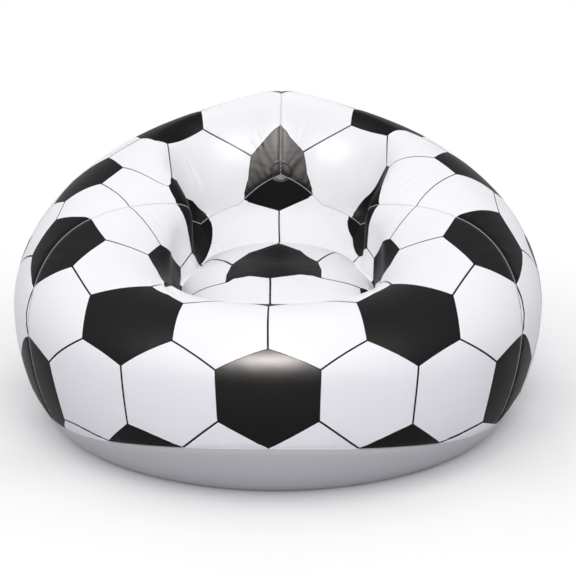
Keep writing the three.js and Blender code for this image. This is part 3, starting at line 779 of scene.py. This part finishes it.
def hexagon_colour(tree):
    """White hexagons with thin dark edges, every third one black, from the lattice coordinates in the mesh.

    The second output is 1 in the black ones.
    """
    stored = add_node(tree, "Attribute", attribute_name="print").outputs["Vector"]
    lattice = vector_node(tree, "MULTIPLY", stored, (1, 1, 0))
    local = []
    for shift in ((0, 0, 0), (0.5, ROW, 0)):
        moved = vector_node(tree, "SUBTRACT", lattice, shift)
        local.append(vector_node(tree, "WRAP", moved, (0.5, ROW, 1), (-0.5, -ROW, -1)))
    lengths = [vector_node(tree, "LENGTH", place, output="Value") for place in local]
    second = math_node(tree, "LESS_THAN", lengths[1], lengths[0])
    place = add_node(tree, "Mix", data_type="VECTOR", in_0=second, in_4=local[0], in_5=local[1]).outputs[1]
    aside = vector_node(tree, "ABSOLUTE", place)
    slanted = vector_node(tree, "DOT_PRODUCT", aside, (0.5, ROW, 0), output="Value")
    level = vector_node(tree, "DOT_PRODUCT", aside, (1, 0, 0), output="Value")
    edge = math_node(tree, "SUBTRACT", 0.5, math_node(tree, "MAXIMUM", slanted, level))
    plain = add_node(tree, "SeparateXYZ", in_Vector=stored).outputs[2]
    printed = math_node(tree, "LESS_THAN", plain, 0.5)
    on_line = math_node(tree, "MULTIPLY", math_node(tree, "LESS_THAN", edge, LINE_HALF_WIDTH), printed)
    centre = vector_node(tree, "SUBTRACT", lattice, place)
    kind = vector_node(tree, "DOT_PRODUCT", centre, (1, -math.sqrt(3), 0), output="Value")
    wrapped = math_node(tree, "WRAP", kind, 2.5, -0.5)
    black = math_node(tree, "LESS_THAN", wrapped, 0.5)
    return mixed_colour(tree, black, mixed_colour(tree, on_line, WHITE, INK), BLACK), black


def printed_film():
    material, tree = new_material("printed_film")
    colour, black = hexagon_colour(tree)
    shine = add_node(tree, "Mix", in_0=black, in_2=WHITE_SHINE, in_3=BLACK_SHINE).outputs[0]
    roughness = add_node(tree, "Mix", in_0=black, in_2=WHITE_ROUGHNESS, in_3=BLACK_ROUGHNESS).outputs[0]
    finish_material(tree, colour, roughness, in_IOR=FILM_IOR, in_Specular_IOR_Level=shine)
    return material


def printed_weld():
    """Welded film, its print showing through: darker on white; on black, pale grey that is partly painted highlight."""
    material, tree = new_material("weld")
    _, black = hexagon_colour(tree)
    weld_colour_and_sheen = mixed_colour(tree, black, WELD_ON_WHITE, WELD_GREY_AND_SHEEN_ON_BLACK)
    finish_material(tree, weld_colour_and_sheen, WELD_ROUGHNESS, in_Specular_IOR_Level=PLAIN_SHINE)
    return material


def plain_film(name, colour, roughness):
    material, tree = new_material(name)
    finish_material(tree, colour, roughness, in_Specular_IOR_Level=PLAIN_SHINE)
    return material


film = printed_film()
base_material = plain_film("base_film", BASE_GREY_AND_SHADE, BASE_ROUGHNESS)
weld_material = printed_weld()
tie_material = plain_film("tie_film", TIE_WHITE, TIE_ROUGHNESS)
valve_material = plain_film("valve_plastic", VALVE_WHITE, VALVE_ROUGHNESS)
plug_material = plain_film("plug_plastic", PLUG_BLUE, PLUG_ROUGHNESS)

# Pieces.
FLOOR_SHARES = (0.85, 0.6, 0.3, 0.02)


def add_mesh(name, points, faces, material):
    mesh = bpy.data.meshes.new(name)
    mesh.from_pydata(np.asarray(points).tolist(), [], faces if isinstance(faces, list) else faces.tolist())
    mesh.polygons.foreach_set("use_smooth", [True] * len(mesh.polygons))
    mesh.materials.append(material)
    mesh.update()
    piece = bpy.data.objects.new(name, mesh)
    bpy.context.scene.collection.objects.link(piece)
    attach(piece, "chair")
    return piece


def with_floor(points, faces, count):
    """The base film's flat bottom, inside its last ring of points."""
    rim = points[-count:]
    rings = [rim * (share, share, 1) for share in FLOOR_SHARES]
    added = len(points) - count + grid_faces(len(rings) + 1, count, True)[:, ::-1]
    return np.concatenate([points, *rings]), np.concatenate([faces, added])


def store_print(piece, places):
    stored = piece.data.attributes.new("print", "FLOAT_VECTOR", "POINT")
    stored.data.foreach_set("vector", places.ravel())


def beside_plain_seam(panel):
    """1 beside the seams where the printed edges stop short of the weld, 0 elsewhere."""
    plain = np.zeros(len(panel.points))
    for name in ("back_weld", "top_weld_right", "top_weld_left"):
        plain = np.maximum(plain, lines[name].nearest(panel.points)[0] < PLAIN_STRIP)
    return plain


def add_film(panel):
    points = dressed(panel.points, panel.normals)
    faces = panel.faces
    if panel.name == "base_film":
        points, faces = with_floor(points, faces, panel.azimuth.shape[1])
    if panel.name == "rear_film_right":
        depth, radius = from_valve(points)
        faces = faces[~((radius < VALVE_HOLE) & (abs(depth) < VALVE_BLEND))[faces].any(1)]
    plain = panel.name == "base_film"
    material, slot = (base_material, "base_film") if plain else (film, "white_film")
    piece = add_mesh(panel.name, points, faces, material)
    if not plain:
        lattice = PRINTS[panel.name](panel.azimuth.ravel(), panel.station.ravel())
        store_print(piece, np.column_stack([lattice, beside_plain_seam(panel)]))
    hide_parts(panel.node)
    return piece


films = {panel.name: add_film(panel) for panel in panels}

# Welds: thin ridges along the seams, each with a width and a height. Those of the sides and of the back are knurled.
WELD_SIDES = 8
KNURL, KNURL_SHARE = 0.007, 0.45
KNURLED_WELD, SMOOTH_WELD = (0.0026, 0.0007), (0.0022, 0.0006)


def add_weld(name, line, width, height, knurled):
    azimuth, station = line.azimuth, line.station
    out = normal(azimuth, station)
    middle = dressed(line.points, out)
    along = unit(np.gradient(middle, axis=0))
    if line.closed:
        along[0] = along[-1] = unit(middle[1] - middle[-2])
    aside = unit(np.cross(along, out))
    rise = np.full(len(middle), height)
    if knurled:
        rise = height * (1 - KNURL_SHARE + KNURL_SHARE * np.cos(TURN * line.length / KNURL))
    turns = np.arange(WELD_SIDES) / WELD_SIDES * TURN
    ring = aside[:, None] * (np.cos(turns) * width / 2)[None, :, None]
    ring = ring + out[:, None] * (np.sin(turns)[None, :] * rise[:, None])[..., None]
    points = (middle[:, None] + ring).reshape(-1, 3)
    faces = grid_faces(len(middle), WELD_SIDES, True)
    piece = add_mesh(name, points, faces, weld_material)
    lattice = (front_print if name == "base_weld" else rear_print)(azimuth, station)
    stored = np.column_stack([lattice, np.ones(len(middle))])
    store_print(piece, np.repeat(stored, WELD_SIDES, axis=0))


for name, line in lines.items():
    kind = name.split("_")[0]
    if kind not in ("crease", "valley"):
        knurled = kind in ("side", "back")
        add_weld(name, line, *(KNURLED_WELD if knurled else SMOOTH_WELD), knurled)

# Round weld over the junction of the seams, laid on the film under it.
PATCH_RADIUS, PATCH_RING, PATCH_RING_WIDTH, PATCH_SHIFT = 0.027, 0.0215, 0.001, 0.009
PATCH_RINGS, PATCH_SPOKES = 27, 96
PATCH_RISE, PATCH_RING_RISE, PATCH_EDGE, PATCH_EDGE_SHARE = 0.0003, 0.0006, 0.0006, 0.2
PATCH_START = 0.05


def add_patch():
    trees = []
    for name in ("rear_film_right", "rear_film_left", "inner_back_film"):
        mesh = films[name].data
        corners = [vertex.co for vertex in mesh.vertices]
        trees.append(BVHTree.FromPolygons(corners, [face.vertices for face in mesh.polygons]))
    radii = np.linspace(0, PATCH_RADIUS, PATCH_RINGS + 1)[1:]
    places = [(0.0, 0.0)] + [(radius, TURN * i / PATCH_SPOKES) for radius in radii for i in range(PATCH_SPOKES)]
    points = []
    for radius, turn in places:
        aside, up = radius * math.cos(turn), radius * math.sin(turn) + PATCH_SHIFT
        flat = JUNCTION_POINT + aside * JUNCTION_SIDE + up * JUNCTION_UP
        start = Vector(flat + JUNCTION_NORMAL * PATCH_START)
        hits = [tree.ray_cast(start, Vector(-JUNCTION_NORMAL), 2 * PATCH_START)[0] for tree in trees]
        hits = [hit for hit in hits if hit is not None] or [tree.find_nearest(start)[0] for tree in trees]
        hit = min(hits, key=lambda hit: (hit - start).length)
        rise = PATCH_RISE + PATCH_RING_RISE * math.exp(-(((radius - PATCH_RING) / PATCH_RING_WIDTH) ** 2))
        rise *= min(1, (PATCH_RADIUS - radius) / PATCH_EDGE + PATCH_EDGE_SHARE)
        points.append(np.array(hit) + JUNCTION_NORMAL * rise)
    centre = [(0, 1 + i, 1 + (i + 1) % PATCH_SPOKES) for i in range(PATCH_SPOKES)]
    rings = 1 + np.roll(grid_faces(PATCH_RINGS, PATCH_SPOKES, True)[:, ::-1], 1, axis=1)
    piece = add_mesh("junction_patch", points, centre + rings.tolist(), film)
    store_print(piece, np.zeros((len(points), 3)))
    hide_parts("seam_patch")


add_patch()

# Ties inside the air chamber, with round vents: a wall from the seat's crease to the floor, and a web in the backrest.
TIE_INSET = 0.0083
TIE_FLOOR = 0.0008
SEAT_TIE_ROWS, SEAT_TIE_COLUMNS = 48, 480
SEAT_VENTS, SEAT_VENT_RADIUS, SEAT_VENT_HEIGHT = 4, 0.026, 0.19 * HEIGHT
SEAT_VENT_EDGE, BACK_VENT_EDGE = 0.0025, 0.001
BACK_TIE_ROWS, BACK_TIE_COLUMNS = 60, 160
BACK_TIE_SHARES = (6 / 18, 14 / 18)
BACK_VENT_SHARES, BACK_VENT_RISE, BACK_VENT_SIZE = (0.3, 0.7), 0.35, 0.15


def pierced(points, faces, centres, radius, reach):
    """The sheet with round vents: points within reach of a vent's edge move onto it, and the faces inside go."""
    inside = np.zeros(len(points), bool)
    for centre in centres:
        offset = points - centre
        distance = np.linalg.norm(offset, axis=1)
        edge = abs(distance - radius) < reach
        points[edge] = centre + offset[edge] / distance[edge, None] * radius
        inside |= (distance < radius) & ~edge
    return points, faces[~inside[faces].any(1)]


def add_tie(name, points, faces, node):
    piece = add_mesh(name, points, faces, tie_material)
    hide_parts(node)


def seat_tie():
    azimuth, up = np.meshgrid(np.linspace(0, TURN, SEAT_TIE_COLUMNS + 1), np.linspace(0, 1, SEAT_TIE_ROWS))
    points = surface(azimuth, np.full_like(azimuth, CREASE))
    top = points[..., 2] - TIE_INSET
    points[..., 2] = TIE_FLOOR + (top - TIE_FLOOR) * up
    centres = []
    for i in range(SEAT_VENTS):
        centre = surface((i + 0.5) / SEAT_VENTS * TURN, CREASE)
        centres.append(np.array([centre[0], centre[1], SEAT_VENT_HEIGHT]))
    faces = grid_faces(*azimuth.shape)
    points, faces = pierced(points.reshape(-1, 3), faces, centres, SEAT_VENT_RADIUS, SEAT_VENT_EDGE)
    add_tie("seat_tie", points, faces, "seat_baffle")


def back_tie():
    share = np.linspace(*BACK_TIE_SHARES, BACK_TIE_COLUMNS) * JUNCTION_SHARE
    azimuth = np.full(BACK_TIE_COLUMNS, HALF_TURN)
    station = row_station(azimuth, share)
    arch = surface(azimuth, station) - normal(azimuth, station) * TIE_INSET
    arch[:, 0] = 0
    chord = arch[0] + (arch[-1] - arch[0]) * np.linspace(0, 1, BACK_TIE_COLUMNS)[:, None]
    up = np.linspace(0, 1, BACK_TIE_ROWS)[:, None, None]
    points = chord + (arch - chord) * up
    span = arch[-1] - arch[0]
    rising = unit(np.array([0, span[2], -span[1]]))
    if (arch[len(arch) // 2] - arch[0]) @ rising < 0:
        rising = -rising
    rise = float(((arch - arch[0]) @ rising).max())
    centres = [arch[0] + span * at + rising * BACK_VENT_RISE * rise for at in BACK_VENT_SHARES]
    faces = grid_faces(BACK_TIE_ROWS, BACK_TIE_COLUMNS)
    points, faces = pierced(points.reshape(-1, 3), faces, centres, BACK_VENT_SIZE * rise, BACK_VENT_EDGE)
    add_tie("back_tie", points, faces, "back_web")


seat_tie()
back_tie()

# Valve pieces keep the frame's own meshes.
for name in ("valve_flange", "valve_stem", "valve_plug", "plug_strap", "check_flap"):
    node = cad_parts[name]
    node.data.materials.clear()
    node.data.materials.append(plug_material if name in ("valve_plug", "plug_strap") else valve_material)

# Floor and light. A lamp has its place, target, size in metres and power in watts.
FLOOR_SIDES, FLOOR_RADIUS = 96, 60
FLOOR_COLOUR, FLOOR_SEEN_COLOUR = (0.4, 0.39, 0.44, 1), (0.97, 0.97, 0.97, 1)
FLOOR_FADE = (0.65, 1.7)
SKY_COLOUR, BACKGROUND_COLOUR = (0.97, 0.98, 1, 1), (1, 1, 1, 1)
SKY_LOW, SKY_HIGH = 0.56, 0.84
LAMP_COLOUR, GLINT_COLOUR = (1, 0.985, 0.97), (1, 0.93, 0.9)
LAMPS = {
    "front_lamp": ((-0.2, -4.2, 2.3), (0, 0, 0.35), (0.9, 1.4), 41),
    "fill_lamp": ((0.4, -5.0, 2.0), (0, 0, 0.3), (4, 2.5), 40),
    "top_lamp": ((-0.3, -0.8, 4.2), (0, 0, 0.3), (3.6, 3.6), 31),
}
# A glint has its pixel, size and power, and the pieces that reflect it.
GLINT_DISTANCE = 3.5
GLINTS = {
    "front_glint": ((268, 360), (1.6, 0.8), 5200, ("front_film", "seat_film")),
    "back_glint": ((279, 138), (0.6, 0.3), 1700, ("rear_film_right", "rear_film_left", "junction_patch")),
}


def background_ray(tree):
    """1 for rays that show the background: to the camera, in a reflection or through glass."""
    path = add_node(tree, "LightPath")
    seen = math_node(tree, "MAXIMUM", path.outputs["Is Camera Ray"], path.outputs["Is Glossy Ray"])
    return math_node(tree, "MAXIMUM", seen, path.outputs["Is Transmission Ray"])


def make_floor():
    bpy.ops.mesh.primitive_circle_add(vertices=FLOOR_SIDES, radius=FLOOR_RADIUS, fill_type="NGON")
    floor = bpy.context.object
    floor.name = "floor"
    material, tree = new_material("floor")
    seen = background_ray(tree)
    colour = mixed_colour(tree, seen, FLOOR_COLOUR, FLOOR_SEEN_COLOUR)
    shade = add_node(tree, "BsdfDiffuse", in_Color=colour).outputs[0]
    place = add_node(tree, "TexCoord").outputs["Object"]
    radius = vector_node(tree, "LENGTH", place, output="Value")
    start, end = FLOOR_FADE
    far = add_node(
        tree, "MapRange", interpolation_type="SMOOTHSTEP", in_Value=radius, in_From_Min=start, in_From_Max=end
    ).outputs[0]
    white = add_node(tree, "Emission", in_Color=BACKGROUND_COLOUR, in_Strength=1.0).outputs[0]
    share = math_node(tree, "MULTIPLY", far, seen)
    mixed = add_node(tree, "MixShader", in_0=share, in_1=shade, in_2=white).outputs[0]
    add_node(tree, "OutputMaterial", in_0=mixed)
    floor.data.materials.append(material)


def make_world():
    world = bpy.data.worlds.new("world")
    bpy.context.scene.world = world
    world.use_nodes = True
    tree = world.node_tree
    tree.nodes.clear()
    place = add_node(tree, "TexCoord").outputs["Generated"]
    height = add_node(tree, "SeparateXYZ", in_Vector=place).outputs[2]
    strength = add_node(tree, "MapRange", in_Value=height, in_To_Min=SKY_LOW, in_To_Max=SKY_HIGH).outputs[0]
    sky = add_node(tree, "Background", in_Color=SKY_COLOUR, in_Strength=strength).outputs[0]
    white = add_node(tree, "Background", in_Color=BACKGROUND_COLOUR, in_Strength=1.0).outputs[0]
    mixed = add_node(tree, "MixShader", in_0=background_ray(tree), in_1=sky, in_2=white).outputs[0]
    add_node(tree, "OutputWorld", in_0=mixed)


def make_lamp(name, place, target, size, power):
    data = bpy.data.lights.new(name, "AREA")
    data.shape = "RECTANGLE"
    data.size, data.size_y = size
    data.energy, data.color = power, LAMP_COLOUR
    lamp = bpy.data.objects.new(name, data)
    lamp.location = place
    lamp.rotation_mode = "QUATERNION"
    lamp.rotation_quaternion = (Vector(target) - Vector(place)).to_track_quat("-Z", "Y")
    bpy.context.scene.collection.objects.link(lamp)
    return lamp


def make_glint(name, pixel, size, power, pieces):
    """A lamp that only shows in reflections in some pieces, placed so that it shows at one pixel of the photograph."""
    origin, direction = ray(*pixel)
    point = wall.tree.ray_cast(origin, direction)[0]
    bounced = direction.reflect(Vector(normal(*wall.at(*pixel))))
    lamp = make_lamp(name, point + bounced * GLINT_DISTANCE, point, size, power)
    lamp.visible_diffuse = False
    lamp.data.color = GLINT_COLOUR
    receivers = bpy.data.collections.new(name)
    for piece in pieces:
        receivers.objects.link(bpy.data.objects[piece])
    lamp.light_linking.receiver_collection = receivers


make_floor()
make_world()
for name, settings in LAMPS.items():
    make_lamp(name, *settings)
for name, settings in GLINTS.items():
    make_glint(name, *settings)
bpy.context.scene.view_settings.view_transform = "Standard"
